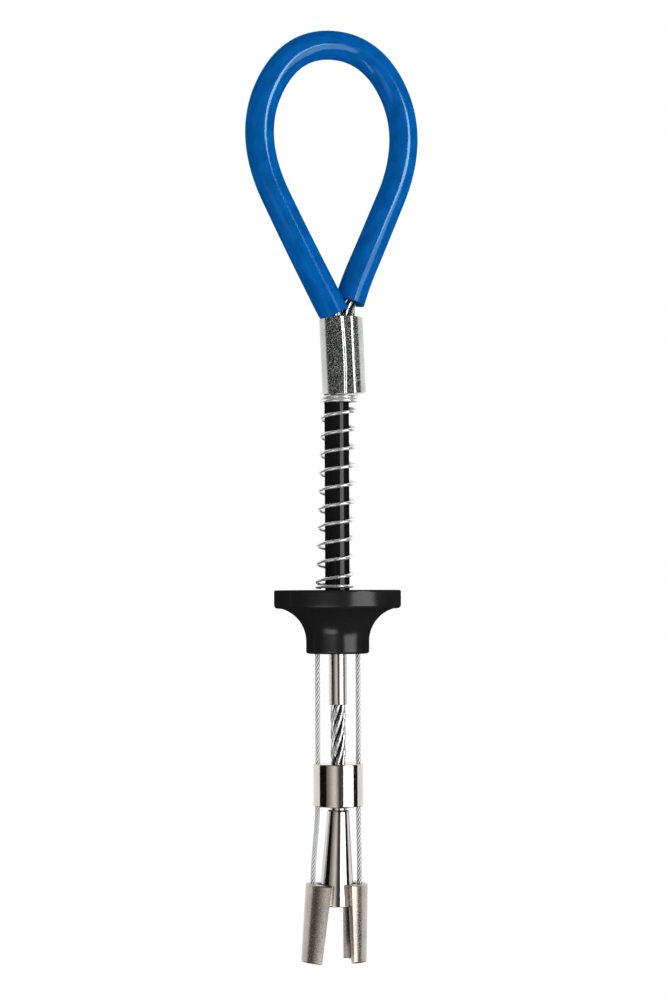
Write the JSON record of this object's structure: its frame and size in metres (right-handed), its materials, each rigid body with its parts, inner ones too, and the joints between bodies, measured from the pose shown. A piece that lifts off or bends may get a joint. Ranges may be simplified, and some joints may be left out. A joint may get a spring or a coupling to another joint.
{
  "type": "removable wedge anchor",
  "caption": "Removable spring-loaded wedge anchor for a drilled hole: half-shell wings on a tapered wedge, wire cable with a sheathed eye and a pull trigger.",
  "frame": {"origin": "centre of the guide collar, on the cable's centre line", "axes": "+Z along the cable to the eye, +X across the eye and the wings, +Y through the eye"},
  "size_m": [0.0659, 0.0464, 0.3408],
  "materials": {
    "wire_rope": "twisted bright wire",
    "blue_vinyl": "glossy, slightly clear",
    "swaged_zinc": "satin, pressed",
    "tube_plastic": "glossy black",
    "nickel_plate": "bright warm nickel",
    "spring_wire": "bright zinc",
    "knob_plastic": "semi-gloss black",
    "control_wire": "twisted bright wire",
    "wing_nickel": "satin warm nickel"
  },
  "bodies": {
    "cable": {"main_cable": "wire_rope", "loop_sheath": "blue_vinyl", "eye_ferrule": "swaged_zinc", "guide_tube": "tube_plastic", "stop_sleeve": "nickel_plate", "guide_collar": "nickel_plate", "wedge_washer": "nickel_plate", "wedge_cone": "nickel_plate", "return_spring": "spring_wire"},
    "trigger": {"trigger_knob": "knob_plastic", "left_wire_stop": "swaged_zinc", "right_wire_stop": "swaged_zinc"},
    "left_slip": {"left_wing": "wing_nickel", "left_control_wire": "control_wire"},
    "right_slip": {"right_wing": "wing_nickel", "right_control_wire": "control_wire"}
  },
  "joints": [
    {"name": "trigger_pull", "type": "slide", "parent": "cable", "child": "trigger", "axis": [0, 0, 1], "range_m": [0, 0.028], "stiffness_N_per_m": 400, "springref_m": -0.025, "deforming": ["return_spring"]},
    {"name": "left_wing_close", "type": "slide", "parent": "trigger", "child": "left_slip", "axis": [1, 0, 0], "range_m": [0, 0.0024], "deforming": ["left_control_wire"]},
    {"name": "right_wing_close", "type": "slide", "parent": "trigger", "child": "right_slip", "axis": [-1, 0, 0], "range_m": [0, 0.0024], "deforming": ["right_control_wire"]}
  ],
  "couplings": [
    {"joint": "left_wing_close", "follows": "trigger_pull", "ratio": 0.082},
    {"joint": "right_wing_close", "follows": "trigger_pull", "ratio": 0.082}
  ]
}
